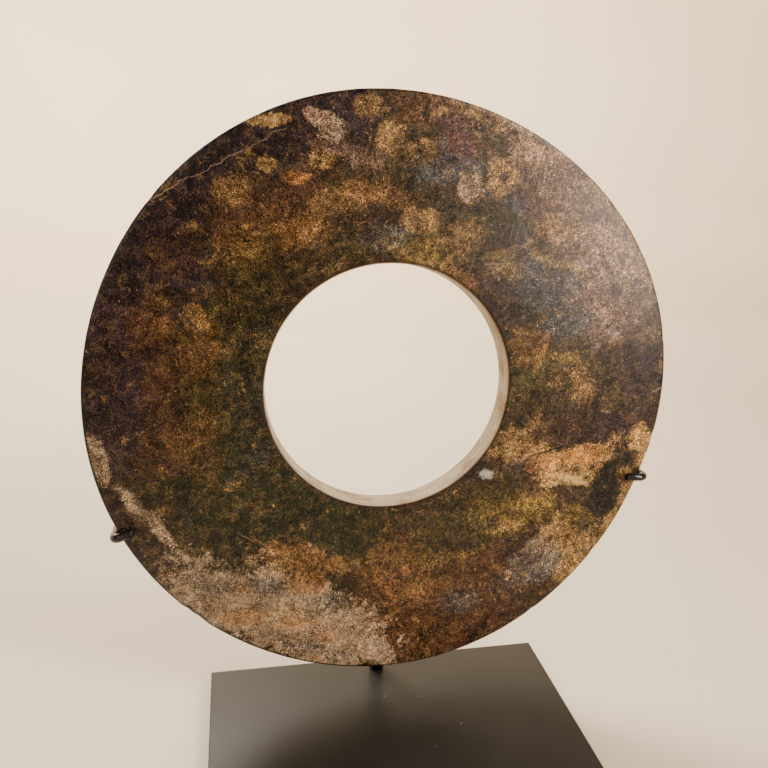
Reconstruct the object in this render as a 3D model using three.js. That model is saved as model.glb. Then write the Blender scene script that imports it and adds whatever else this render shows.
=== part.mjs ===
// Jade bi disc standing on a thin black display stand.
// Millimetres, +Z up. The disc's front looks along -Y and its top leans back.
// The origin is the centre of the base plate's underside.
import * as THREE from 'three';

// Disc
const discRadius = 110;
const discThickness = 10.5;
const discLean = 4.16; // degrees, top backwards
const discAbovePlate = 15; // gap between the plate's top and the disc's lowest stretch
const rimRounding = 1.4;
const lipRounding = 0.9;
const rimFall = 0.35; // each face drops by this much towards the rim
const rimFallWidth = 22;
const holeRadiusFront = 45.9;
const holeRadiusBack = 45.5;
const holeAcross = -1.2; // hole centre from the disc centre, in the disc's plane
const holeUp = 5.2;

// The outline is ground by hand: broad lobes and one flatter stretch, angles in degrees from +X
const outlineLobes = [
  { count: 2, height: 0.22, at: 57 },
  { count: 3, height: 0.59, at: 17 },
  { count: 4, height: 0.5, at: 19 },
];
const outlineFlat = { depth: 0.5, at: -20, halfWidth: 8 };

// Stand
const plateWidth = 143;
const plateDepth = 105;
const plateThickness = 5;
const plateEdge = 0.5; // small bevel round the plate
const plateBehindDisc = 18; // plate's back edge behind the disc's front centre
const plateRightOfDisc = 1.5; // plate's centre to the right of the disc's centre
const postRadius = 3;
const postAboveArms = 6; // how far the post runs on above the place where the arms meet
const armRodRadius = 1.6;
const armsAboveRim = 26; // where the arms meet, above the disc's lowest stretch, in its plane
const armBend = 3; // radius of each bend, at the rod's middle
const clearance = 0.3; // gap between pieces that touch

// Each arm ends in a hook over the rim, with a short finger on the front face
const hooks = [
  { name: 'left_arm', rimAngle: -154.8, fingerTurn: -2, fingerLength: 7.6 },
  { name: 'right_arm', rimAngle: -17.8, fingerTurn: 14, fingerLength: 8.6 },
];

// Fineness
const discSegments = 128;
const rimSteps = 4;
const lipSteps = 2;
const fallSteps = 3;
const rodSides = 12;
const bendSteps = 7;

const toRadians = THREE.MathUtils.degToRad;
const discCentreHeight = plateThickness + discAbovePlate + discRadius;
const armsMeetDrop = discRadius - armsAboveRim; // below the disc's centre, in its plane

const jade = new THREE.MeshStandardMaterial({ color: 0x6b5236, roughness: 0.45, metalness: 0 });
const blackRod = new THREE.MeshStandardMaterial({ color: 0x0b0b0c, roughness: 0.25, metalness: 0.1 });
const greyPlate = new THREE.MeshStandardMaterial({ color: 0x26241f, roughness: 0.5, metalness: 0.2 });

// How far the outline stands outside a true circle in one direction
function outlineSwell(angle) {
  let swell = 0;
  for (const lobe of outlineLobes) {
    swell += lobe.height * Math.cos(lobe.count * (angle - toRadians(lobe.at)));
  }
  const off = angle - toRadians(outlineFlat.at);
  const turn = Math.atan2(Math.sin(off), Math.cos(off)) / toRadians(outlineFlat.halfWidth);
  return swell - outlineFlat.depth * Math.exp(-turn * turn);
}

function rimRadiusAt(angle) {
  return discRadius + outlineSwell(angle);
}

// A quarter round in the disc's section, from one angle to another about a centre
function roundCorner(centreX, centreY, radius, fromDegrees, toDegrees, steps) {
  const points = [];
  for (let i = 0; i <= steps; i += 1) {
    const angle = toRadians(fromDegrees + ((toDegrees - fromDegrees) * i) / steps);
    points.push(new THREE.Vector2(centreX + radius * Math.cos(angle), centreY + radius * Math.sin(angle)));
  }
  return points;
}

// A face's radii and drops where it falls away to the rim, from the flat part outwards
function fallPoints() {
  const start = discRadius - rimFallWidth;
  const end = discRadius - rimRounding;
  const points = [];
  for (let i = 0; i < fallSteps; i += 1) {
    const share = i / fallSteps;
    points.push({ radius: start + (end - start) * share, drop: rimFall * share * share });
  }
  return points;
}

// The disc's section, one closed loop: x is the radius and y the depth behind the front face
function discSection() {
  const rimCentre = discRadius - rimRounding;
  const frontEdge = rimFall + rimRounding;
  const backEdge = discThickness - rimFall - rimRounding;
  const falls = fallPoints();
  const section = [
    ...falls.map((p) => new THREE.Vector2(p.radius, p.drop)),
    ...roundCorner(rimCentre, frontEdge, rimRounding, -90, 0, rimSteps),
    ...roundCorner(rimCentre, backEdge, rimRounding, 0, 90, rimSteps),
    ...falls.reverse().map((p) => new THREE.Vector2(p.radius, discThickness - p.drop)),
    ...roundCorner(holeRadiusBack + lipRounding, discThickness - lipRounding, lipRounding, 90, 180, lipSteps),
    ...roundCorner(holeRadiusFront + lipRounding, lipRounding, lipRounding, 180, 270, lipSteps),
  ];
  section.push(section[0].clone());
  return section;
}

// Shifts the hole off centre and gives the rim its outline. Both fade out across the ring.
function shapeRing(geometry) {
  const positions = geometry.attributes.position;
  const holeRadius = Math.min(holeRadiusFront, holeRadiusBack);
  for (let i = 0; i < positions.count; i += 1) {
    const x = positions.getX(i);
    const z = positions.getZ(i);
    const radius = Math.hypot(x, z);
    const angle = Math.atan2(z, x);
    const share = (radius - holeRadius) / (discRadius - holeRadius);
    const shaped = radius + outlineSwell(angle) * share;
    positions.setX(i, shaped * Math.cos(angle) + holeAcross * (1 - share));
    positions.setZ(i, shaped * Math.sin(angle) + holeUp * (1 - share));
  }
}

function makeDisc() {
  const geometry = new THREE.LatheGeometry(discSection(), discSegments);
  shapeRing(geometry);
  const disc = new THREE.Mesh(geometry, jade);
  disc.name = 'jade_disc';
  return disc;
}

// A rod's centre line: straight runs joined by round bends, with stations only where it bends
class RodLine extends THREE.Curve {
  constructor(corners, bendRadius) {
    super();
    this.stations = [];
    const last = corners.length - 1;
    const runs = corners.slice(1).map((corner, i) => corner.clone().sub(corners[i]).normalize());
    this.stations.push({ point: corners[0], tangent: runs[0] });
    for (let i = 1; i < last; i += 1) this.addBend(corners[i], runs[i - 1], runs[i], bendRadius);
    this.stations.push({ point: corners[last], tangent: runs[last - 1] });
  }

  addBend(corner, before, after, bendRadius) {
    const turn = before.angleTo(after);
    const reach = bendRadius * Math.tan(turn / 2);
    const start = corner.clone().addScaledVector(before, -reach);
    const axis = before.clone().cross(after).normalize();
    const inward = axis.clone().cross(before);
    const centre = start.clone().addScaledVector(inward, bendRadius);
    for (let i = 0; i <= bendSteps; i += 1) {
      const angle = (turn * i) / bendSteps;
      const point = start.clone().sub(centre).applyAxisAngle(axis, angle).add(centre);
      this.stations.push({ point, tangent: before.clone().applyAxisAngle(axis, angle) });
    }
  }

  stationAt(share) {
    return this.stations[Math.round(share * (this.stations.length - 1))];
  }

  getPoint(share) {
    return this.stationAt(share).point.clone();
  }

  getPointAt(share) {
    return this.getPoint(share);
  }

  getTangentAt(share) {
    return this.stationAt(share).tangent.clone();
  }
}

function makeRod(name, corners) {
  const outline = [];
  for (let i = 0; i < rodSides; i += 1) {
    const angle = (2 * Math.PI * i) / rodSides;
    outline.push(new THREE.Vector2(armRodRadius * Math.cos(angle), armRodRadius * Math.sin(angle)));
  }
  const line = new RodLine(corners, armBend);
  const geometry = new THREE.ExtrudeGeometry(new THREE.Shape(outline), {
    steps: line.stations.length - 1,
    extrudePath: line,
  });
  const rod = new THREE.Mesh(geometry, blackRod);
  rod.name = name;
  return rod;
}

// An arm in the disc's own plane: along the disc's back, round the rim and in over the front face
function makeArm(hook) {
  const behind = discThickness + clearance + armRodRadius;
  const before = -clearance - armRodRadius;
  const rimAngle = toRadians(hook.rimAngle);
  const legRadius = rimRadiusAt(rimAngle) + clearance + armRodRadius;
  const legX = legRadius * Math.cos(rimAngle);
  const legZ = legRadius * Math.sin(rimAngle);
  const rise = Math.atan2(legZ + armsMeetDrop, Math.abs(legX));
  const startX = Math.sign(legX) * (armRodRadius * Math.sin(rise) + clearance);
  const startZ = -armsMeetDrop + Math.abs(startX) * Math.tan(rise);
  const fingerAngle = rimAngle + Math.PI + toRadians(hook.fingerTurn);
  const tipX = legX + hook.fingerLength * Math.cos(fingerAngle);
  const tipZ = legZ + hook.fingerLength * Math.sin(fingerAngle);
  return makeRod(hook.name, [
    new THREE.Vector3(startX, behind, startZ),
    new THREE.Vector3(legX, behind, legZ),
    new THREE.Vector3(legX, before, legZ),
    new THREE.Vector3(tipX, before, tipZ),
  ]);
}

function makePlate() {
  const across = plateWidth / 2 - plateEdge;
  const along = plateDepth / 2 - plateEdge;
  const outline = new THREE.Shape([
    new THREE.Vector2(-across, -along),
    new THREE.Vector2(across, -along),
    new THREE.Vector2(across, along),
    new THREE.Vector2(-across, along),
  ]);
  const geometry = new THREE.ExtrudeGeometry(outline, {
    depth: plateThickness - 2 * plateEdge,
    bevelSize: plateEdge,
    bevelThickness: plateEdge,
    bevelSegments: 1,
  });
  const plate = new THREE.Mesh(geometry, greyPlate);
  plate.name = 'base_plate';
  plate.position.z = plateEdge;
  return plate;
}

// The disc and its arms share one group that leans back about the disc's front centre
const leaning = new THREE.Group();
leaning.position.set(-plateRightOfDisc, plateDepth / 2 - plateBehindDisc, discCentreHeight);
leaning.rotation.x = -toRadians(discLean);
leaning.add(makeDisc());
for (const hook of hooks) leaning.add(makeArm(hook));
leaning.updateMatrixWorld(true);

// The post stands just behind the place where the arms meet
function makePost() {
  const armsBack = discThickness + clearance + 2 * armRodRadius;
  const meeting = leaning.localToWorld(new THREE.Vector3(0, armsBack, -armsMeetDrop - armRodRadius));
  const top = leaning.localToWorld(new THREE.Vector3(0, armsBack, postAboveArms - armsMeetDrop));
  const height = top.z - plateThickness;
  const geometry = new THREE.CylinderGeometry(postRadius, postRadius, height, 2 * rodSides);
  const post = new THREE.Mesh(geometry, blackRod);
  post.name = 'post';
  post.rotation.x = Math.PI / 2;
  post.position.set(top.x, Math.max(top.y, meeting.y) + clearance + postRadius, plateThickness + height / 2);
  return post;
}

const biDisc = new THREE.Group();
biDisc.name = 'jade_bi_disc';
biDisc.add(leaning, makePlate(), makePost());

export default biDisc;
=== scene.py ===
import math

import bmesh
import bpy
from mathutils import Matrix, Vector, noise


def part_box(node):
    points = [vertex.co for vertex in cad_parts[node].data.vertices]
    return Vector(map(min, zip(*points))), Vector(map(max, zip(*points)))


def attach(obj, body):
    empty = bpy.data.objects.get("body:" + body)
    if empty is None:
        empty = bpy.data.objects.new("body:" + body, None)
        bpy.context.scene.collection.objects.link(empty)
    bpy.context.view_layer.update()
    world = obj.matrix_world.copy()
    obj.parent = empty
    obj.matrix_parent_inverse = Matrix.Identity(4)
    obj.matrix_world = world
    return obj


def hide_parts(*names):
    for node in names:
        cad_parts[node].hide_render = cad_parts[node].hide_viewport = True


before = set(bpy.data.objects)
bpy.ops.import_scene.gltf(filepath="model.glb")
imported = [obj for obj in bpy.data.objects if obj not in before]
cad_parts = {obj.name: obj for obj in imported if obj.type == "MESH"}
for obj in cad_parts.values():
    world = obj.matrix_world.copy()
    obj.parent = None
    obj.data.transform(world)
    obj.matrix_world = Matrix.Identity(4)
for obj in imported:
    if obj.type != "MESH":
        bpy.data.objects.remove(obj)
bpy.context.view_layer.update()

mm = 0.001
plateLow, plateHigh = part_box("base_plate")

# The disc, in millimetres. In its own plane x runs right and z up, and y is the depth behind its front.
disc = {
    "radius": 110,
    "thickness": 10.5,
    "lean": 4.16,
    "abovePlate": 15,
    "plateBehind": 18,
    "plateRight": 1.5,
    "holeFront": 45.9,
    "holeBack": 45.5,
    "holeCentre": (-1.2, 5.2),
    "rimRounding": 1.4,
    "lipRounding": 0.9,
    "rimFall": 0.35,
    "rimFallWidth": 22,
    "lobes": [(2, 0.22, 57), (3, 0.59, 17), (4, 0.5, 19)],
    "flatDepth": 0.5,
    "flatAt": -20,
    "flatHalfWidth": 8,
    "steps": 540,
    "frontBands": 70,
    "backBands": 42,
    "wallBands": 8,
}

discCentre = Vector((
    (plateLow.x + plateHigh.x) / 2 - disc["plateRight"] * mm,
    plateHigh.y - disc["plateBehind"] * mm,
    plateHigh.z + (disc["abovePlate"] + disc["radius"]) * mm,
))
discTurn = Matrix.Rotation(-math.radians(disc["lean"]), 4, "X")
discPlace = Matrix.Translation(discCentre) @ discTurn @ Matrix.Scale(mm, 4)


def smooth(low, high, value):
    share = min(1.0, max(0.0, (value - low) / (high - low)))
    return share * share * (3 - 2 * share)


def addPiece(name, bm, finish, replaced=()):
    mesh = bpy.data.meshes.new(name)
    bm.to_mesh(mesh)
    bm.free()
    for face in mesh.polygons:
        face.use_smooth = True
    piece = bpy.data.objects.new(name, mesh)
    bpy.context.scene.collection.objects.link(piece)
    mesh.materials.append(finish)
    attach(piece, "root")
    if replaced:
        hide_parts(*replaced)
    return piece


# Shader values as plain maths: a Wire is one socket, and an expression on it adds the Math nodes
class Wire:
    def __init__(self, finish, socket):
        self.finish = finish
        self.socket = socket

    def maths(self, operation, *values):
        return self.finish.maths(operation, *values)

    def __add__(self, other):
        return self.maths("ADD", self, other)

    def __radd__(self, other):
        return self.maths("ADD", other, self)

    def __sub__(self, other):
        return self.maths("SUBTRACT", self, other)

    def __rsub__(self, other):
        return self.maths("SUBTRACT", other, self)

    def __mul__(self, other):
        return self.maths("MULTIPLY", self, other)

    def __rmul__(self, other):
        return self.maths("MULTIPLY", other, self)

    def __abs__(self):
        return self.maths("ABSOLUTE", self)


class Finish:
    def __init__(self, name):
        self.material = bpy.data.materials.new(name)
        self.material.use_nodes = True
        self.tree = self.material.node_tree
        self.shader = self.tree.nodes["Principled BSDF"]

    def put(self, socket, value):
        if isinstance(value, Wire):
            self.tree.links.new(value.socket, socket)
        else:
            socket.default_value = value

    def node(self, kind, settings, inputs, output=0):
        made = self.tree.nodes.new(kind)
        for name, value in settings.items():
            setattr(made, name, value)
        for name, value in inputs.items():
            self.put(made.inputs[name], value)
        return Wire(self, made.outputs[output])

    def objectPoint(self):
        return self.node("ShaderNodeTexCoord", {}, {}, "Object")

    def mapped(self, point, kind, location=(0, 0, 0), rotation=(0, 0, 0), scale=(1, 1, 1)):
        inputs = {"Vector": point, "Location": location, "Rotation": rotation, "Scale": scale}
        return self.node("ShaderNodeMapping", {"vector_type": kind}, inputs)

    def split(self, point):
        made = self.tree.nodes.new("ShaderNodeSeparateXYZ")
        self.put(made.inputs[0], point)
        return [Wire(self, socket) for socket in made.outputs]

    def joined(self, x, y, z):
        return self.node("ShaderNodeCombineXYZ", {}, {0: x, 1: y, 2: z})

    def vector(self, operation, *values, output=0, **named):
        inputs = {i: value for i, value in enumerate(values)}
        inputs.update(named)
        return self.node("ShaderNodeVectorMath", {"operation": operation}, inputs, output)

    def maths(self, operation, *values):
        inputs = {i: value for i, value in enumerate(values)}
        return self.node("ShaderNodeMath", {"operation": operation}, inputs)

    def lightness(self, colour):
        return self.vector("DOT_PRODUCT", colour, (0.3, 0.5, 0.2), output="Value")

    def noise(self, point, scale, detail=3.0, roughness=0.5, distortion=0.0, output=0):
        inputs = {"Vector": point, "Scale": scale, "Detail": detail,
                  "Roughness": roughness, "Distortion": distortion}
        return self.node("ShaderNodeTexNoise", {"noise_type": "FBM", "normalize": True}, inputs, output)

    # the point moved about by noise, by up to half the reach either way
    def stirred(self, point, scale, reach, detail=3.0, roughness=0.55):
        swirl = self.noise(point, scale, detail, roughness, output="Color")
        centred = self.vector("SUBTRACT", swirl, (0.5, 0.5, 0.5))
        return self.vector("MULTIPLY_ADD", centred, (reach, reach, reach), point)

    def cells(self, point, scale):
        inputs = {"Vector": point, "Scale": scale}
        return self.node("ShaderNodeTexVoronoi", {"feature": "F1"}, inputs, "Distance")

    def ramp(self, value, low, high, start=0.0, end=1.0):
        inputs = {0: value, 1: low, 2: high, 3: start, 4: end}
        return self.node("ShaderNodeMapRange", {"interpolation_type": "SMOOTHSTEP"}, inputs)

    def mix(self, factor, first, second):
        settings = {"data_type": "RGBA", "blend_type": "MIX", "clamp_factor": True}
        inputs = {0: factor, 6: shade(first), 7: shade(second)}
        return self.node("ShaderNodeMix", settings, inputs, 2)

    def bump(self, height, strength, distance):
        inputs = {"Strength": strength, "Distance": distance, "Height": height}
        return self.node("ShaderNodeBump", {}, inputs)

    def finished(self, **sockets):
        names = {"color": "Base Color", "roughness": "Roughness", "normal": "Normal",
                 "specular": "Specular IOR Level"}
        for name, value in sockets.items():
            self.put(self.shader.inputs[names[name]], value)
        return self.material


# One channel of a screen colour as the light it stands for
def linear(channel):
    share = channel / 255
    return share / 12.92 if share <= 0.04045 else ((share + 0.055) / 1.055) ** 2.4


# A colour written in screen values, made ready for a socket
def shade(value):
    if isinstance(value, Wire) or len(value) == 4:
        return value
    return tuple(linear(channel) for channel in value) + (1.0,)


# A tone as it should look under the lamps, which lift and grey the darker ones
def stoneTone(name):
    return tuple(stone["gain"] * linear(channel) ** stone["depth"] for channel in tones[name]) + (1.0,)


stone = {
    "gain": 0.94,  # every tone is multiplied by this once it is raised to the power of the depth
    "depth": 1.45,
    "slant": (0.7, -0.5),  # how far the pattern runs right and up through each millimetre of depth
    "fray": 1.2,  # how far noise breaks the edges of the colour areas
    "fineFray": 0.46,  # the share of the fine stirring that small areas get
    "smallFray": 0.6,  # and their share of the fray
    "smallArea": 10,  # an area narrower than this each way from its middle is small
    "areaMiddle": 5,  # the areas lie round this depth and reach through the whole disc
    "areaReach": 80,
    "cloudEdge": 0.1,  # width of a cloud's edge in the noise's own measure
    "pale": (0.06, 0.26),  # lightness from which the stone counts as pale, and as fully pale
    "contrast": 10.0,  # light and dark at every size from patches to grains
    "grain": 21.0,
    "paleCalm": 0.78,  # how much less of both the pale stone gets
    # painted shade: how many stops darker the stone is painted at its left, where the light from the
    # right falls off
    "paintedShadeLeft": 0.55,
    "gloss": 0.29,
    "specular": 0.25,
    "tooth": 0.4,
    "toothDepth": 0.00025,
}

# The stone's colours, as an eye would name them
tones = {
    "charcoal": (50, 41, 50),
    "plumBlack": (63, 48, 56),
    "umber": (66, 50, 41),
    "rust": (98, 72, 50),
    "redBrown": (78, 53, 42),
    "ochre": (138, 108, 70),
    "khaki": (124, 106, 60),
    "amber": (178, 136, 84),
    "olive": (64, 60, 32),
    "moss": (50, 54, 28),
    "greenGrey": (60, 62, 50),
    "slate": (84, 85, 84),
    "greyBlue": (116, 115, 110),
    "tan": (150, 125, 86),
    "buff": (176, 150, 108),
    "bone": (170, 152, 130),
    "cream": (224, 192, 138),
    "pinkTan": (156, 133, 114),
    "plum": (94, 70, 66),
    "blood": (140, 40, 30),
    "chalk": (200, 194, 188),
    "black": (27, 23, 26),
}

# Colour areas, laid over each other. Each is an ellipse in the disc's plane, frayed by noise:
# across, up, half width, half height, turn, tone, strength, softness
areas = [
    # green and olive heart of the left side
    (-64, -8, 34, 62, 8, "olive", 0.95, 0.5),
    (-44, -38, 46, 26, -28, "moss", 0.85, 0.5),
    (-51, 2, 9, 30, 0, "greenGrey", 0.8, 0.5),
    (-66, 18, 10, 10, 10, "ochre", 0.35, 0.7),
    (-72, -12, 9, 14, 0, "ochre", 0.25, 0.8),
    (-44, 60, 24, 14, 34, "olive", 0.5, 0.7),
    (54, 2, 14, 36, -6, "olive", 0.7, 0.6),
    (53, 20, 8, 7, 0, "ochre", 0.4, 0.7),
    # browns and plum blacks along the left
    (-88, 8, 13, 34, 0, "redBrown", 0.85, 0.5),
    (-82, 33, 9, 9, 0, "rust", 0.5, 0.7),
    (-94, 21, 6, 5, 0, "rust", 0.6, 0.6),
    (-101, 22, 10, 42, 8, "plumBlack", 0.9, 0.45),
    (-96, -10, 8, 14, 0, "plumBlack", 0.7, 0.5),
    (-86, 60, 22, 26, 30, "charcoal", 0.92, 0.4),
    (-64, 82, 30, 15, 38, "charcoal", 0.92, 0.4),
    (-28, 98, 27, 13, 16, "charcoal", 0.9, 0.4),
    (-30, 86, 20, 7, 18, "plumBlack", 0.6, 0.6),
    (-40, 72, 28, 10, 30, "umber", 0.4, 0.6),
    (-46, 70, 24, 9, 30, "rust", 0.5, 0.8),
    (-52, 56, 9, 7, 30, "khaki", 0.3, 1.0),
    (-34, 62, 9, 6, 20, "ochre", 0.55, 0.8),
    (-57, 75, 8, 5, 30, "tan", 0.35, 0.7),
    (-78, 54, 9, 8, 0, "redBrown", 0.5, 0.7),
    # tan blotches near the top
    (-43, 97.5, 7, 2, 8, "buff", 0.75, 0.4),
    (-45, 83.7, 3.4, 2.6, 0, "tan", 0.8, 0.4),
    (-27, 85.5, 5, 3.6, 0, "tan", 0.75, 0.4),
    (-35, 79.5, 5, 2, 0, "amber", 0.45, 0.6),
    (-10, 103.5, 6, 3.6, 0, "tan", 0.55, 0.5),
    (-3, 94.5, 5, 5.5, 0, "tan", 0.6, 0.5),
    (-14, 86, 14, 5, 0, "pinkTan", 0.22, 1.2),
    (-14, 76, 7, 4, 0, "ochre", 0.35, 1.0),
    (-2, 73, 10, 4, 0, "ochre", 0.3, 0.8),
    (8, 90, 6, 5, 0, "tan", 0.6, 0.6),
    (-22, 72, 9, 5, 0, "tan", 0.2, 1.0),
    (-4, 60, 9, 4.5, 0, "greyBlue", 0.3, 0.7),
    # red brown, slate and tan of the upper right
    (6, 104, 10, 6, -4, "rust", 0.6, 0.6),
    (19, 94, 11, 8, -14, "plum", 0.7, 0.5),
    (30, 103, 13, 3.4, -15, "tan", 0.6, 0.5),
    (20, 85, 14, 6, -8, "slate", 0.8, 0.6),
    (38, 73, 13, 6, -14, "slate", 0.7, 0.5),
    (45, 63, 6, 4, 0, "slate", 0.6, 0.5),
    (68, 42, 30, 14, -14, "slate", 0.75, 0.55),
    (66, 29, 9, 5, 0, "slate", 0.7, 0.5),
    (90, 26, 13, 6, 0, "plumBlack", 0.5, 0.5),
    # these two broad soft pink tan areas are partly the stone's colour and partly a painted sheen along
    # the upper right rim
    (72, 74, 32, 15, -42, "pinkTan", 0.5, 1.6),
    (88, 48, 15, 22, 20, "pinkTan", 0.4, 1.6),
    (52, 72, 14, 6, -36, "plum", 0.5, 0.8),
    (84, 38, 14, 5, -30, "plum", 0.45, 0.8),
    (44, 98, 14, 5, -24, "pinkTan", 0.55, 1.0),
    (41, 51, 8, 5, -42, "khaki", 0.45, 0.8),
    (62, 52, 10, 3, -30, "tan", 0.45, 0.8),
    (10, 55, 14, 5, -16, "khaki", 0.6, 0.6),
    (24, 60, 7, 7, 0, "tan", 0.4, 0.8),
    (8, 66, 7, 4, 0, "tan", 0.4, 0.8),
    (24, 47, 8, 3.4, -35, "ochre", 0.3, 0.6),
    (60, 65, 9, 4, 0, "tan", 0.5, 0.8),
    (37.5, 81.5, 6, 6.4, 0, "tan", 0.75, 0.3),
    (26, 78, 5, 4.6, 0, "pinkTan", 0.7, 0.3),
    (69, 12, 6, 6, 20, "khaki", 0.6, 0.8),
    (75, 5, 5, 7, 10, "tan", 0.5, 0.8),
    (90, 12, 12, 8, 0, "umber", 0.5, 0.6),
    (101, 6, 7, 18, 0, "plumBlack", 0.5, 0.6),
    # tan, amber and cream at the right, under a dark step
    (52, -18, 13, 10, 20, "tan", 0.5, 0.6),
    (66, -12, 14, 5.4, 14, "umber", 0.85, 0.3),
    (88, -12, 9, 8, 0, "plumBlack", 0.6, 0.5),
    (74, -27, 19, 10, 4, "tan", 0.85, 0.3),
    (78, -24, 9.5, 4, 8, "amber", 0.8, 0.6),
    (62, -26, 8, 3, 16, "amber", 0.5, 0.6),
    (48, -28, 14, 2.6, -8, "plumBlack", 0.6, 0.6),
    (70, -42, 14, 3.2, -4, "umber", 0.65, 0.6),
    (51, -46, 16, 10, 10, "khaki", 0.8, 0.6),
    (48, -52, 6, 3, 0, "tan", 0.5, 0.8),
    (76, -50, 12, 5, 20, "khaki", 0.5, 0.6),
    (103.5, -22, 5.4, 9.8, 18, "tan", 0.85, 0.4),
    (98, -38, 6, 8, 10, "tan", 0.6, 0.5),
    (70, -58, 13, 8, 30, "tan", 0.6, 0.6),
    (85, -63, 16, 7, 48, "tan", 0.75, 0.5),
    (74, -74, 6, 4, 48, "tan", 0.55, 0.5),
    (61, -69, 11, 9, 25, "greyBlue", 0.6, 0.8),
    (50, -78, 9, 5, 20, "slate", 0.5, 0.8),
    (61, -67, 4, 3, 0, "charcoal", 0.6, 0.6),
    # rust and dark specks of the lower right
    (16, -84, 38, 25, 12, "rust", 0.55, 0.8),
    (14, -58, 26, 9, 14, "olive", 0.45, 0.8),
    (24, -62, 14, 4, 10, "khaki", 0.5, 0.8),
    (4, -70, 12, 16, 0, "ochre", 0.4, 0.7),
    (44, -94, 20, 9, 26, "redBrown", 0.6, 0.5),
    (26, -46, 24, 12, 30, "olive", 0.5, 0.6),
    (30, -84, 8, 6, 0, "slate", 0.45, 0.6),
    # pale weathered zone at the bottom left
    (-42, -84, 46, 18, -26, "bone", 0.78, 0.3),
    (-42, -89, 38, 11, -26, "bone", 0.7, 0.5),
    (-22, -101, 20, 9, -12, "bone", 0.7, 0.4),
    (-34, -62, 20, 6, -8, "ochre", 0.65, 0.5),
    (-57, -83, 8, 3.2, -8, "amber", 0.45, 1.0),
    (-54, -72, 7, 3, -10, "ochre", 0.45, 0.6),
    (-33, -71, 8.5, 4.2, 0, "amber", 0.5, 0.6),
    (-40, -83, 7, 3, 0, "ochre", 0.4, 0.6),
    (-36, -88, 7, 3, -5, "amber", 0.45, 1.0),
    (-24, -93.5, 5, 3.6, 0, "amber", 0.4, 1.0),
    (-46, -71, 7, 4, -15, "greyBlue", 0.7, 0.5),
    (-21, -80, 8.5, 3.4, -10, "slate", 0.55, 0.5),
    (-17, -73, 5, 3, 0, "moss", 0.6, 0.5),
    (-67, -69, 9, 3.6, -25, "slate", 0.45, 0.6),
    (-30, -91, 8, 2.4, 0, "slate", 0.4, 0.6),
    (-30, -101, 17, 3, -15, "slate", 0.6, 0.5),
    # plum below the left hook
    (-92, -56, 5, 13, 28, "plumBlack", 0.55, 0.5),
]

# Crisp marks laid over the mottling, as tuples like the areas
marks = [
    # torn cream streaks at the right
    (70, -32.5, 7, 1.1, -8, "cream", 0.7, 0.9),
    (66, -35.5, 4, 0.9, 8, "cream", 0.7, 0.9),
    (76, -35, 5, 1.1, -14, "cream", 0.65, 0.9),
    (74, -30, 5, 1.0, 10, "rust", 0.6, 0.6),
    (38, -30, 2.6, 1.8, 0, "chalk", 0.65, 0.7),
    # black stain beside the right hook
    (90, -38, 6, 9.5, 6, "black", 0.96, 0.2),
    (88, -44, 5, 7, 0, "black", 0.9, 0.3),
    (96, -27, 7.5, 2.4, 26, "black", 0.85, 0.4),
    (89, -30, 3, 3, 0, "black", 0.6, 0.5),
    (83, -55, 1.3, 1, 0, "black", 0.9, 0.4),
    # specks in the pale zone
    (-69.5, -78, 0.9, 0.7, 0, "blood", 0.8, 0.4),
    (-67.2, -79.3, 0.8, 0.7, 0, "black", 0.8, 0.4),
    # ivory streaks by the left hook
    (-104.5, -19, 3.2, 8.5, 10, "bone", 0.6, 0.6),
    (-94, -35, 2.6, 8, 38, "bone", 0.55, 0.7),
    (-85, -46, 2.4, 8, 28, "bone", 0.6, 0.7),
    # pale blotches, a ring's dark eye and a lighter three-cornered scar near the top left
    (-24, 95.5, 4.6, 5, 0, "bone", 0.5, 0.5),
    (-28, 99, 5, 2.4, -30, "pinkTan", 0.6, 0.5),
    (38, 82, 1.9, 1.7, 0, "black", 0.8, 0.5),
    (-70.5, 32, 5, 4.4, -40, "tan", 0.4, 0.2),
]

# Mottling over the areas: tone, the cloud's place and scale, where it starts and its strength
mottles = [
    ("umber", (11, 5, -30), 0.12, 0.53, 0.5),
    ("rust", (40, 7, 13), 0.13, 0.56, 0.45),
    ("slate", (-23, 31, 5), 0.15, 0.57, 0.5),
    ("tan", (71, -12, 44), 0.12, 0.56, 0.5),
    ("charcoal", (-60, 3, 80), 0.14, 0.54, 0.6),
]

# Clouds on the pale stone alone: tone, place, where they start and their strength
paleClouds = [
    ("amber", (9, -14, 3), 0.5, 0.5),
    ("slate", (-33, 8, 21), 0.54, 0.5),
]


# Lays areas over a base colour, with the small ones frayed closely and the others broadly
def layAreas(finish, base, wanted, broadly, closely, ragged):
    colour = base
    raggedClose = ragged * stone["smallFray"]
    frayedBroadly = finish.mapped(broadly, "POINT")
    frayedClosely = finish.mapped(closely, "POINT")
    for across, up, halfWidth, halfHeight, turn, tone, weight, soft in wanted:
        small = max(halfWidth, halfHeight) < stone["smallArea"]
        place = finish.mapped(
            frayedClosely if small else frayedBroadly, "TEXTURE",
            location=(across, stone["areaMiddle"], up),
            rotation=(0, -math.radians(turn), 0),
            scale=(2 * halfWidth, stone["areaReach"], 2 * halfHeight),
        )
        # one at the middle, half at the ellipse
        settings = {"gradient_type": "SPHERICAL"}
        inside = finish.node("ShaderNodeTexGradient", settings, {"Vector": place}, "Fac")
        edge = inside - (raggedClose if small else ragged)
        cover = finish.ramp(edge, 0.5 - 0.25 * soft, 0.5 + 0.25 * soft, 0.0, weight)
        colour = finish.mix(cover, colour, stoneTone(tone))
    return colour


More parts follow.
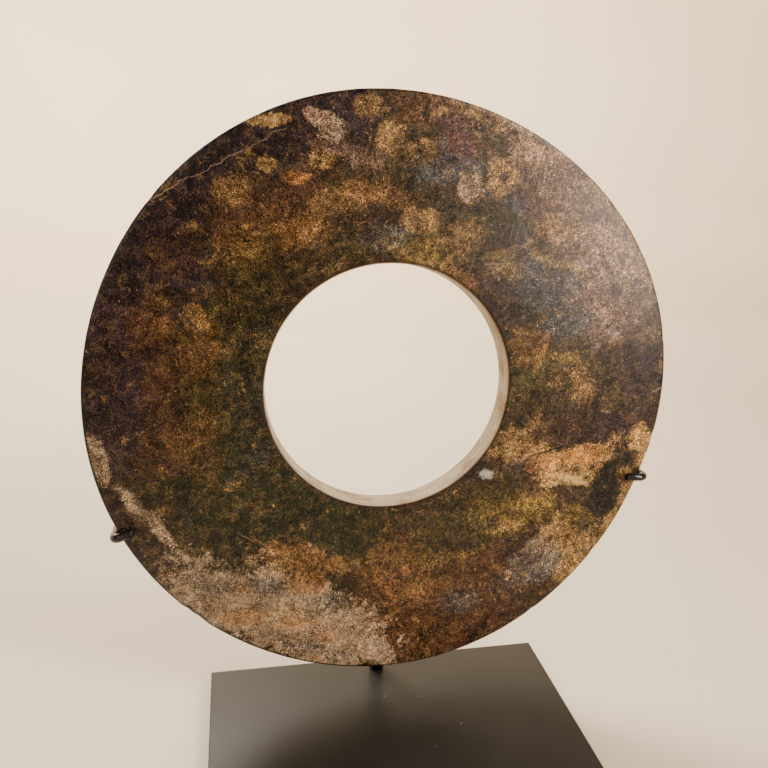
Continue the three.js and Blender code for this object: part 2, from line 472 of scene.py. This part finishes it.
# A thin line across the stone: a straight run that noise bends and breaks
def vein(finish, parts, start, end, wander, width, along=0.09):
    x, y, z = parts
    length = math.hypot(end[0] - start[0], end[1] - start[1])
    ux, uz = (end[0] - start[0]) / length, (end[1] - start[1]) / length
    run = (x - start[0]) * ux + (z - start[1]) * uz
    side = (z - start[1]) * ux - (x - start[0]) * uz
    bend = finish.noise(finish.joined(run, 0.0, 0.0), along, 4.0, 0.6)
    off = abs(side - (bend - 0.5) * wander)
    ends = finish.ramp(run, -1.0, 3.0) * finish.ramp(run, length + 1, length - 3)
    depth = finish.ramp(y, 3.0, 1.5)
    broken = finish.ramp(finish.noise(finish.joined(run, 7.0, 0.0), 0.3, 3.0, 0.7), 0.36, 0.52, 0.25, 1.0)
    return finish.ramp(off, width, width * 0.3) * ends * depth * broken


# The ground colour between umber and olive, with its areas, its crumbly clouds and its crisp marks
def stonePatches(finish, slanted):
    # noise frays the edges, less so for the small areas
    stirred = finish.stirred(slanted, 0.045, 30.0)
    frayed = finish.stirred(stirred, 0.3, 13.0, 5.0, 0.72)
    ragged = (finish.noise(slanted, 0.13, 8.0, 0.76, 0.8) - 0.5) * stone["fray"]

    drift = finish.noise(slanted, 0.04, 4.0, 0.6)
    colour = finish.mix(finish.ramp(drift, 0.38, 0.62), stoneTone("umber"), stoneTone("olive"))
    fine = finish.vector("SUBTRACT", frayed, stirred)
    closely = finish.vector("MULTIPLY_ADD", fine, (stone["fineFray"],) * 3, slanted)
    colour = layAreas(finish, colour, areas, frayed, closely, ragged)

    lightness = finish.lightness(colour)
    calm = finish.ramp(lightness, *stone["pale"], 1.0, 0.35)
    onPale = finish.ramp(lightness, 0.12, 0.24)
    for tone, place, start, weight in paleClouds:
        cloud = finish.noise(finish.mapped(slanted, "POINT", location=place), 0.1, 6.0, 0.7, 0.8)
        cover = finish.ramp(cloud, start, start + stone["cloudEdge"], 0.0, weight) * onPale
        colour = finish.mix(cover, colour, stoneTone(tone))
    for tone, place, scale, start, weight in mottles:
        cloud = finish.noise(finish.mapped(slanted, "POINT", location=place), scale, 7.0, 0.74, 1.0)
        cover = finish.ramp(cloud, start, start + stone["cloudEdge"], 0.0, weight) * calm
        colour = finish.mix(cover, colour, stoneTone(tone))
    return layAreas(finish, colour, marks, frayed, closely, ragged)


# Light and dark in stops, equally strong from patches down to grains, calmer on the pale stone, with a
# painted shade that darkens the left side
def unevenToneAndPaintedShade(finish, colour, even, grain, x):
    pale = finish.ramp(finish.lightness(colour), *stone["pale"])
    uneven = (even - 0.5) * stone["contrast"] + (grain - 0.5) * stone["grain"]
    strength = uneven * (1 - stone["paleCalm"] * pale)
    # painted shade, darkening the left side of the disc as if the light from the right fell off across it
    darker = finish.ramp(x, 25.0, -60.0, 0.0, stone["paintedShadeLeft"])
    return finish.vector("SCALE", colour, Scale=finish.maths("POWER", 2.0, strength - darker))


def specked(finish, colour, slanted, x):
    # dark specks, thickest on the right
    pepper = finish.ramp(finish.noise(slanted, 0.4, 5.0, 0.85, 0.8), 0.54, 0.6)
    thick = finish.ramp(x, -40.0, 50.0, 0.25, 0.65)
    colour = finish.mix(pepper * thick, colour, stoneTone("charcoal"))

    # short pale felted fibres
    felted = finish.noise(slanted, 0.5, 4.0, 0.7, 1.3)
    here = finish.ramp(finish.noise(slanted, 0.25, 4.0, 0.7), 0.47, 0.6)
    fibres = finish.ramp(abs(felted - 0.5), 0.03, 0.0) * here
    colour = finish.mix(fibres * 0.55, colour, stoneTone("buff"))

    # sparse pale flecks
    flecks = finish.ramp(finish.cells(slanted, 0.5), 0.2, 0.1)
    sparse = finish.ramp(finish.noise(slanted, 0.3, 2.0), 0.52, 0.62)
    return finish.mix(flecks * sparse * 0.6, colour, stoneTone("bone"))


# The hole's wall in its darker and lighter rings, and how strongly it and its lip are stained
holeWall = {"tones": ((142, 124, 96), (180, 164, 136)), "stain": 0.65, "lip": 0.75, "duller": 0.2}


# Painted shade on the rim's side and on its rounded lower left edge, the brown lip of the hole and its
# pale smooth wall with faint rings
def rimAndHole(finish, colour, local, parts, wall, out):
    x, y, z = parts
    lip = finish.ramp(out, disc["holeFront"] + 1.6, disc["holeFront"] + 0.7)
    rings = finish.noise(finish.mapped(local, "POINT", scale=(0.05, 1.6, 0.05)), 1.0, 4.0, 0.6)
    stain = finish.noise(local, 0.12, 4.0, 0.6)
    wallTone = finish.mix(finish.ramp(rings, 0.35, 0.65), *holeWall["tones"])
    stained = finish.ramp(stain, 0.45, 0.7, 0.0, holeWall["stain"])
    wallTone = finish.mix(stained, wallTone, stoneTone("ochre"))
    # painted shade on the rim's side wall
    side = finish.ramp(y, 0.9, 1.6) * finish.ramp(y, 9.7, 9.0) * 0.45
    # painted shade along the rounded front edge at the lower left, where it turns down away from the
    # light
    roundedEdge = finish.ramp(y, 0.32, 0.44) * finish.ramp(y, 1.6, 0.9)
    shaded = roundedEdge * finish.ramp(x + z, -60.0, -110.0) * 0.9
    colour = finish.mix((side + shaded) * finish.ramp(out, 80.0, 90.0), colour, stoneTone("black"))
    colour = finish.mix(lip * holeWall["lip"], colour, stoneTone("redBrown"))
    return finish.mix(wall, colour, wallTone)


def jadeFinish():
    finish = Finish("jade_stone")
    local = finish.mapped(
        finish.objectPoint(), "TEXTURE",
        location=tuple(discCentre),
        rotation=(-math.radians(disc["lean"]), 0, 0),
        scale=(mm, mm, mm),
    )
    parts = finish.split(local)
    x, y, z = parts
    slantRight, slantUp = stone["slant"]
    slanted = finish.joined(x + y * slantRight, y, z + y * slantUp)
    colour = stonePatches(finish, slanted)

    even = finish.noise(slanted, 0.06, 5.0, 0.93, 1.4)
    grain = finish.noise(slanted, 1.25, 3.0, 0.85, 2.0)
    colour = unevenToneAndPaintedShade(finish, colour, even, grain, x)
    colour = specked(finish, colour, slanted, x)

    # two pale veins, then the dark lines of the scar and of the step
    upper = vein(finish, parts, (-84, 71), (-38, 96), 6.0, 0.17, 0.12)
    colour = finish.mix(upper * 0.8, colour, stoneTone("bone"))
    lower = vein(finish, parts, (-58, -48), (-34, -62), 9.0, 0.22)
    colour = finish.mix(lower * 0.5, colour, stoneTone("buff"))
    scar = vein(finish, parts, (-77, 36), (-67, 25), 1.0, 0.45)
    step = vein(finish, parts, (56, -23), (78, -18), 5.0, 0.7)
    colour = finish.mix((scar + step) * 0.85, colour, stoneTone("black"))

    holeX, holeZ = disc["holeCentre"]
    out = finish.vector("LENGTH", finish.joined(x - holeX, 0.0, z - holeZ), output="Value")
    wall = finish.ramp(out, disc["holeFront"] + 0.55, disc["holeFront"] + 0.1)
    colour = rimAndHole(finish, colour, local, parts, wall, out)

    # polished, with a fine tooth
    gloss = stone["gloss"] + (even - 0.5) * 0.3 + (grain - 0.5) * 0.5 + wall * holeWall["duller"]
    height = even * 0.6 + grain * 0.4 - scar * 1.5
    normal = finish.bump(height, stone["tooth"], stone["toothDepth"])
    return finish.finished(color=colour, roughness=gloss, normal=normal, specular=stone["specular"])


# How far the outline stands outside a true circle in one direction
def outlineSwell(angle):
    swell = sum(high * math.cos(count * (angle - math.radians(at))) for count, high, at in disc["lobes"])
    off = angle - math.radians(disc["flatAt"])
    turn = math.atan2(math.sin(off), math.cos(off)) / math.radians(disc["flatHalfWidth"])
    return swell - disc["flatDepth"] * math.exp(-turn * turn)


# Hand-ground faces and rim: a slow waviness and shallow dents, with the noise's scale per
# millimetre and its height in millimetres
ground = {
    "waveScale": 0.035,
    "waveHeight": 0.12,
    "dentScale": 0.3,
    "dentHeight": 0.035,
    "edge": 0.05,  # the share of the ring's width, at the hole and at the rim, that stays true
    "rimScale": 0.2,
    "rimHeight": 0.06,
    "chipInset": 0.3,
    "chipBehindFace": 0.4,
    "chipFaceShare": 0.6,  # how deep a chip cuts into the face, as a share of its cut into the rim
}

# Chips on the front rim: angle in degrees, width and depth in millimetres
chips = [
    {"at": -134.2, "width": 2.6, "depth": 0.35},
    {"at": -132.0, "width": 2.2, "depth": 0.45},
    {"at": -130.6, "width": 2.0, "depth": 0.3},
    {"at": -56.0, "width": 2.0, "depth": 0.2},
    {"at": -37.0, "width": 2.4, "depth": 0.2},
    {"at": -9.0, "width": 2.4, "depth": 0.2},
    {"at": 139.5, "width": 2.2, "depth": 0.2},
    {"at": 12.0, "width": 2.0, "depth": 0.15},
]


# How deep the chips cut in at one point
def chipCut(x, y, z):
    cut = 0.0
    for chip in chips:
        angle = math.radians(chip["at"])
        reach = disc["radius"] + outlineSwell(angle) - ground["chipInset"]
        middle = Vector((reach * math.cos(angle), ground["chipBehindFace"], reach * math.sin(angle)))
        away = (Vector((x, y, z)) - middle).length
        share = max(0.0, 1 - (away / chip["width"]) ** 2)
        cut += chip["depth"] * share
    return cut


# Moves a point of the true ring to its place on the real one
def shapeDiscPoint(point):
    x, y, z = point
    radius, angle = math.hypot(x, z), math.atan2(z, x)
    hole = disc["holeBack"]
    share = (radius - hole) / (disc["radius"] - hole)
    fall = max(0.0, (radius - disc["radius"] + disc["rimFallWidth"]) / disc["rimFallWidth"])
    toBack = 1 if y < disc["thickness"] / 2 else -1
    deep = abs(y - disc["thickness"] / 2) / (disc["thickness"] / 2)
    y += toBack * disc["rimFall"] * fall * fall * deep
    shaped = radius + outlineSwell(angle) * share
    x = shaped * math.cos(angle) + disc["holeCentre"][0] * (1 - share)
    z = shaped * math.sin(angle) + disc["holeCentre"][1] * (1 - share)
    inner = smooth(0.0, ground["edge"], share) * smooth(1.0, 1 - ground["edge"], share)
    wave = noise.noise(Vector((x, y * 3, z)) * ground["waveScale"]) * ground["waveHeight"]
    dents = noise.fractal(Vector((x, y * 3 + 9, z)) * ground["dentScale"], 1.0, 2.0, 3)
    y -= toBack * (wave + dents * ground["dentHeight"]) * inner
    outward = Vector((math.cos(angle), 0, math.sin(angle)))
    atRim = smooth(0.9, 1.0, share)
    uneven = noise.noise(Vector((x, y, z)) * ground["rimScale"]) * ground["rimHeight"] * atRim
    cut = chipCut(x, y, z) if share > 0.9 else 0.0
    moved = Vector((x, y, z)) + outward * (uneven - cut)
    moved.y += toBack * cut * ground["chipFaceShare"]
    return moved


def buildDisc():
    bm = bmesh.new()
    corners = [
        bm.verts.new((radius, depth, 0))
        for radius, depth in [
            (disc["holeFront"], 0), (disc["radius"], 0),
            (disc["radius"], disc["thickness"]), (disc["holeBack"], disc["thickness"]),
        ]
    ]
    edges = [bm.edges.new((corners[i], corners[(i + 1) % 4])) for i in range(4)]
    bmesh.ops.spin(bm, geom=corners + edges, cent=(0, 0, 0), axis=(0, 1, 0), angle=math.tau,
                   steps=disc["steps"], use_merge=True)
    bmesh.ops.remove_doubles(bm, verts=bm.verts, dist=0.01)

    def rounds(edge):
        return abs(edge.verts[0].co.y - edge.verts[1].co.y) < 0.01 and abs(
            edge.verts[0].co.xz.length - edge.verts[1].co.xz.length) < 0.01

    middle = (disc["radius"] + disc["holeFront"]) / 2
    for isRim, offset, segments in [(True, disc["rimRounding"], 5), (False, disc["lipRounding"], 4)]:
        found = [e for e in bm.edges if rounds(e) and (e.verts[0].co.xz.length > middle) == isRim]
        bmesh.ops.bevel(bm, geom=found, offset=offset, segments=segments, profile=0.5,
                        affect="EDGES", material=-1)

    # bands across the faces and round the walls, so that the surface can be shaped
    def crossing(test):
        return [e for e in bm.edges if test(e.verts[0].co, e.verts[1].co)]

    def across(depth):
        return crossing(lambda a, b: abs(a.y - depth) < 0.01 and abs(b.y - depth) < 0.01
                        and abs(a.xz.length - b.xz.length) > 10)

    walls = crossing(lambda a, b: abs(a.y - b.y) > 5)
    bmesh.ops.subdivide_edges(bm, edges=across(0), cuts=disc["frontBands"], use_grid_fill=True)
    bmesh.ops.subdivide_edges(bm, edges=across(disc["thickness"]), cuts=disc["backBands"],
                              use_grid_fill=True)
    bmesh.ops.subdivide_edges(bm, edges=walls, cuts=disc["wallBands"], use_grid_fill=True)
    bmesh.ops.recalc_face_normals(bm, faces=bm.faces)
    for vert in bm.verts:
        vert.co = shapeDiscPoint(vert.co)
    bm.transform(discPlace)
    return addPiece("bi_disc", bm, jadeFinish(), ["jade_disc"])


# The rods, in millimetres: each arm runs behind the disc, round the rim and in over the front
rods = {
    "radius": 1.6,
    "bend": 3,
    "clearance": 0.3,
    "armsAboveRim": 26,
    "bendSteps": 16,
    "tipLength": 0.35,
    "tipShrink": 0.8,
    "tones": ((11, 11, 13), (22, 21, 22)),
    "gloss": 0.24,
    "specular": 0.4,
}
hooks = [
    {"name": "left_hook_arm", "node": "left_arm", "rimAngle": -154.8, "fingerTurn": -2, "finger": 7.6},
    {"name": "right_hook_arm", "node": "right_arm", "rimAngle": -17.8, "fingerTurn": 14, "finger": 8.6},
]


def rodFinish():
    finish = Finish("black_rod")
    point = finish.objectPoint()
    handling = finish.noise(point, 260.0, 4.0, 0.6)
    orangePeel = finish.noise(point, 900.0, 3.0, 0.6)
    colour = finish.mix(finish.ramp(handling, 0.4, 0.7), *rods["tones"])
    gloss = rods["gloss"] + (handling - 0.4) * 0.3
    normal = finish.bump(orangePeel, 0.12, 0.0002)
    return finish.finished(color=colour, roughness=gloss, normal=normal, specular=rods["specular"])


# Straight runs joined by round bends
def roundedPath(corners, bend, steps):
    points = [corners[0]]
    for before, corner, after in zip(corners, corners[1:], corners[2:]):
        into, away = (corner - before).normalized(), (after - corner).normalized()
        turn = into.angle(away)
        start = corner - into * bend * math.tan(turn / 2)
        axis = into.cross(away).normalized()
        centre = start + axis.cross(into) * bend
        for i in range(steps + 1):
            points.append(centre + Matrix.Rotation(turn * i / steps, 3, axis) @ (start - centre))
    points.append(corners[-1])
    return points


def buildArm(hook, finish):
    behind = disc["thickness"] + rods["clearance"] + rods["radius"]
    before = -rods["clearance"] - rods["radius"]
    meet = disc["radius"] - rods["armsAboveRim"]
    rimAngle = math.radians(hook["rimAngle"])
    leg = disc["radius"] + outlineSwell(rimAngle) + rods["clearance"] + rods["radius"]
    legX, legZ = leg * math.cos(rimAngle), leg * math.sin(rimAngle)
    rise = math.atan2(legZ + meet, abs(legX))
    startX = math.copysign(rods["radius"] * math.sin(rise) + rods["clearance"], legX)
    finger = rimAngle + math.pi + math.radians(hook["fingerTurn"])
    tipX, tipZ = legX + hook["finger"] * math.cos(finger), legZ + hook["finger"] * math.sin(finger)
    corners = [
        Vector((startX, behind, -meet + abs(startX) * math.tan(rise))),
        Vector((legX, behind, legZ)),
        Vector((legX, before, legZ)),
        Vector((tipX, before, tipZ)),
    ]
    path = roundedPath(corners, rods["bend"], rods["bendSteps"])
    inward = (path[-1] - path[-2]).normalized()
    path.insert(-1, path[-1] - inward * rods["tipLength"])
    curve = bpy.data.curves.new(hook["name"], "CURVE")
    curve.dimensions = "3D"
    curve.bevel_depth = rods["radius"] * mm
    curve.bevel_resolution = 7
    curve.use_fill_caps = True
    spline = curve.splines.new("POLY")
    spline.points.add(len(path) - 1)
    for place, point in zip(spline.points, path):
        place.co = (*(discPlace @ point), 1)
    spline.points[-1].radius = rods["tipShrink"]
    drawn = bpy.data.objects.new(hook["name"] + "_line", curve)
    bm = bmesh.new()
    bm.from_mesh(drawn.to_mesh())
    drawn.to_mesh_clear()
    bpy.data.objects.remove(drawn)
    bmesh.ops.remove_doubles(bm, verts=bm.verts, dist=1e-6)
    bmesh.ops.recalc_face_normals(bm, faces=bm.faces)
    return addPiece(hook["name"], bm, finish, [hook["node"]])


# The post, in millimetres
post = {"sides": 64, "topBevel": 0.4}


def buildPost(finish):
    low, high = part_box("post")
    radius = (high.x - low.x) / 2
    middle = (low + high) / 2
    bm = bmesh.new()
    bmesh.ops.create_cone(bm, cap_ends=True, segments=post["sides"], radius1=radius, radius2=radius,
                          depth=high.z - low.z, matrix=Matrix.Translation(middle))
    top = [e for e in bm.edges if all(v.co.z > high.z - 1e-5 for v in e.verts)]
    bmesh.ops.bevel(bm, geom=top, offset=post["topBevel"] * mm, segments=3, profile=0.5,
                    affect="EDGES", material=-1)
    return addPiece("post_rod", bm, finish, ["post"])


# The brazed joint where both arms meet the post, in millimetres: half its size each way
braze = {"halfSize": (2.9, 1.5, 1.95), "lumps": 0.08, "behindArms": 0.5, "aboveArms": 0.5}


def buildBraze(finish):
    behind = disc["thickness"] + rods["clearance"] + rods["radius"]
    meet = disc["radius"] - rods["armsAboveRim"]
    bm = bmesh.new()
    bmesh.ops.create_icosphere(bm, subdivisions=4, radius=1)
    for vert in bm.verts:
        lump = 1 + braze["lumps"] * noise.noise(vert.co * 1.7)
        vert.co = vert.co * Vector(braze["halfSize"]) * lump
    place = (0, behind + braze["behindArms"], braze["aboveArms"] - meet)
    bm.transform(discPlace @ Matrix.Translation(place))
    return addPiece("braze", bm, finish)


# The base plate, in millimetres
plate = {
    "edge": 0.5,
    "segments": 3,
    "tones": ((34, 33, 31), (44, 42, 39)),
    "dust": (170, 165, 155),
    "gloss": 0.42,
    "specular": 0.22,
}


def plateFinish():
    finish = Finish("graphite_plate")
    point = finish.objectPoint()
    cloud = finish.noise(point, 18.0, 4.0, 0.6)
    tooth = finish.noise(point, 1400.0, 3.0, 0.6)
    brushed = finish.noise(finish.mapped(point, "POINT", scale=(40, 900, 40)), 1.0, 4.0, 0.6)
    colour = finish.mix(finish.ramp(cloud, 0.35, 0.65), *plate["tones"])
    dust = finish.ramp(finish.cells(point, 85.0), 0.075, 0.03)
    thinned = finish.ramp(finish.noise(point, 60.0, 2.0), 0.5, 0.6)
    colour = finish.mix(dust * thinned * 0.8, colour, plate["dust"])
    gloss = plate["gloss"] + (cloud - 0.5) * 0.15 + (brushed - 0.5) * 0.1
    normal = finish.bump(tooth, 0.15, 0.0001)
    return finish.finished(color=colour, roughness=gloss, normal=normal, specular=plate["specular"])


def buildPlate():
    size = plateHigh - plateLow
    bm = bmesh.new()
    bmesh.ops.create_cube(bm, size=1, matrix=Matrix.Translation((plateLow + plateHigh) / 2)
                          @ Matrix.Diagonal((*size, 1)))
    bmesh.ops.bevel(bm, geom=bm.edges[:], offset=plate["edge"] * mm, segments=plate["segments"],
                    profile=0.5, affect="EDGES", material=-1)
    return addPiece("plate", bm, plateFinish(), ["base_plate"])


# A pale round room: a floor that curves up into a wall
room = {
    "reach": 2.2,
    "curve": 0.7,
    "curveSteps": 16,
    "wall": 1.6,
    "steps": 96,
    "tones": ((232, 216, 190), (238, 226, 204)),
    "gloss": 0.85,
}


def buildRoom():
    bm = bmesh.new()
    centre = room["reach"] - room["curve"]
    outline = [(0.0, 0.0), (centre, 0.0)]
    for i in range(1, room["curveSteps"] + 1):
        angle = math.pi / 2 * i / room["curveSteps"]
        outline.append((centre + room["curve"] * math.sin(angle), room["curve"] * (1 - math.cos(angle))))
    outline.append((room["reach"], room["wall"]))
    points = [bm.verts.new((out, 0, up)) for out, up in outline]
    edges = [bm.edges.new(pair) for pair in zip(points, points[1:])]
    bmesh.ops.spin(bm, geom=points + edges, cent=(0, 0, 0), axis=(0, 0, 1), angle=math.tau,
                   steps=room["steps"], use_merge=True)
    bmesh.ops.remove_doubles(bm, verts=bm.verts, dist=1e-5)
    bmesh.ops.recalc_face_normals(bm, faces=bm.faces)
    mesh = bpy.data.meshes.new("studio_floor")
    bm.to_mesh(mesh)
    bm.free()
    for face in mesh.polygons:
        face.use_smooth = True
    floor = bpy.data.objects.new("studio_floor", mesh)
    bpy.context.scene.collection.objects.link(floor)
    finish = Finish("pale_floor")
    cloud = finish.noise(finish.objectPoint(), 1.5, 3.0, 0.5)
    tone = finish.mix(finish.ramp(cloud, 0.3, 0.7), *room["tones"])
    mesh.materials.append(finish.finished(color=tone, roughness=room["gloss"]))


# Lamps: where they stand from the disc's centre in metres, their side, their power and their colour
lamps = [
    {"name": "key", "from": (0.45, -0.45, 0.45), "side": 0.3, "power": 1.1, "tint": (1.0, 0.93, 0.84)},
    {"name": "glare", "from": (0.68, -0.85, 0.15), "side": 0.25, "power": 1.2, "tint": (1.0, 0.86, 0.77)},
    {"name": "fill", "from": (-0.9, -0.9, 0.5), "side": 0.8, "power": 1, "tint": (1.0, 0.94, 0.86)},
    {"name": "back", "from": (-0.5, 0.9, 1.0), "side": 0.6, "power": 5, "tint": (1.0, 0.94, 0.86)},
    {"name": "wall", "from": (-0.2, 0.7, 1.5), "to": (0, 2.2, 0.35), "side": 1.0, "power": 85,
     "spread": 150, "tint": (1.0, 0.87, 0.7)},
]
sky = {"tint": (1.0, 0.94, 0.86), "strength": 0.07}
narrowSpread = 70  # degrees, for the lamps that name no spread


def placeLamps():
    for lamp in lamps:
        light = bpy.data.lights.new(lamp["name"], "AREA")
        light.shape = "SQUARE"
        light.size = lamp["side"]
        light.spread = math.radians(lamp.get("spread", narrowSpread))
        light.energy = lamp["power"]
        light.color = lamp["tint"]
        holder = bpy.data.objects.new(lamp["name"], light)
        bpy.context.scene.collection.objects.link(holder)
        holder.location = discCentre + Vector(lamp["from"])
        aim = Vector(lamp.get("to", (0, 0, 0))) - Vector(lamp["from"])
        holder.rotation_euler = aim.to_track_quat("-Z", "Y").to_euler()
    world = bpy.data.worlds.new("soft_daylight")
    world.use_nodes = True
    background = world.node_tree.nodes["Background"]
    background.inputs["Color"].default_value = (*sky["tint"], 1)
    background.inputs["Strength"].default_value = sky["strength"]
    bpy.context.scene.world = world


# The camera, from the disc's front centre in metres and in degrees
view = {
    "from": (-0.0571, -0.2579, 0.0888),
    "right": 11.71,
    "down": 17.2,
    "roll": 2.2,
    "lens": 35.16,
    "sensor": 36,
    "nearest": 0.01,
}


def placeCamera():
    data = bpy.data.cameras.new("view")
    data.lens = view["lens"]
    data.sensor_width = view["sensor"]
    data.clip_start = view["nearest"]
    camera = bpy.data.objects.new("view", data)
    bpy.context.scene.collection.objects.link(camera)
    turn = (
        Matrix.Rotation(-math.radians(view["right"]), 4, "Z")
        @ Matrix.Rotation(math.radians(90 - view["down"]), 4, "X")
        @ Matrix.Rotation(math.radians(view["roll"]), 4, "Z")
    )
    camera.matrix_world = Matrix.Translation(discCentre + Vector(view["from"])) @ turn
    bpy.context.scene.camera = camera


placeCamera()
placeLamps()
buildRoom()
print("stage ready")
rodPaint = rodFinish()
buildDisc()
print("disc ready")
for hook in hooks:
    buildArm(hook, rodPaint)
buildPost(rodPaint)
buildBraze(rodPaint)
buildPlate()
print("stand ready")
